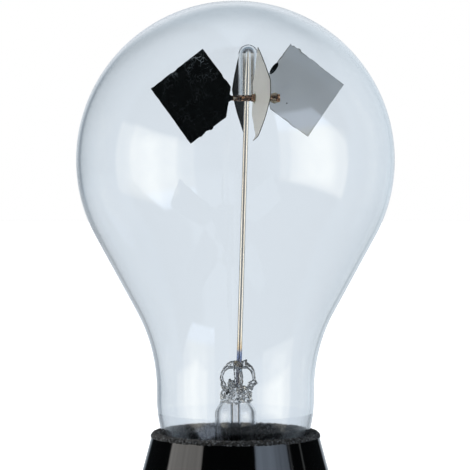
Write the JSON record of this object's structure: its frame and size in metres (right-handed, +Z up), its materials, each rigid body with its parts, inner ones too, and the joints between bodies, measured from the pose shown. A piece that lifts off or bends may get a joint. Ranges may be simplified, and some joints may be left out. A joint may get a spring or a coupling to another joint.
{
  "type": "radiometer",
  "caption": "Light mill: a sealed clear glass bulb on a round black base, with a vaned rotor that turns on a needle point inside.",
  "frame": {"origin": "centre of the base underside, on the surface that it stands on", "axes": "+Z up along the bulb axis, -Y towards the front, +X to the right seen from the front"},
  "size_m": [0.08, 0.08, 0.14],
  "materials": {
    "bulb_glass": "clear blown glass, very slightly blue",
    "stem_glass": "clear flame-worked glass",
    "cap_glass": "clear drawn glass tube",
    "needle_steel": "polished steel wire with a straw and blue heat tint at its foot",
    "copper": "dull coppery metal",
    "glue": "pale yellowish dried glue",
    "vane_metal": "bright thin sheet, slightly uneven",
    "black_coat": "black coat with fine scratches",
    "base_black": "glossy black moulding",
    "foam_black": "soft black flocked foam",
    "cement": "grey-beige bulb cement",
    "plate_steel": "black painted steel ballast",
    "screw_steel": "zinc plated steel",
    "felt": "black felt"
  },
  "bodies": {
    "stand": {"base_shell": "base_black", "bottom_plate": "plate_steel", "bulb_envelope": "bulb_glass", "cement_ring": "cement", "claw_arm_1": "stem_glass", "claw_arm_2": "stem_glass", "claw_arm_3": "stem_glass", "claw_arm_4": "stem_glass", "exhaust_tube": "stem_glass", "felt_pad": "felt", "foam_collar": "foam_black", "needle": "needle_steel", "needle_bead": "stem_glass", "plate_screws": "screw_steel", "stem_flare": "stem_glass", "stem_press": "stem_glass"},
    "rotor": {"glue_spots": "glue", "hub_collar": "copper", "rotor_cap": "cap_glass", "vane_1": "vane_metal", "vane_2": "vane_metal", "vane_3": "vane_metal", "vane_4": "vane_metal", "vane_arm_1": "copper", "vane_arm_2": "copper", "vane_arm_3": "copper", "vane_arm_4": "copper", "vane_coat_1": "black_coat", "vane_coat_2": "black_coat", "vane_coat_3": "black_coat", "vane_coat_4": "black_coat"}
  },
  "joints": [
    {"name": "rotor_spin", "type": "hinge", "parent": "stand", "child": "rotor", "pos_m": [0.0032, 0, 0.1281], "axis": [0, 0, 1], "continuous": true}
  ]
}
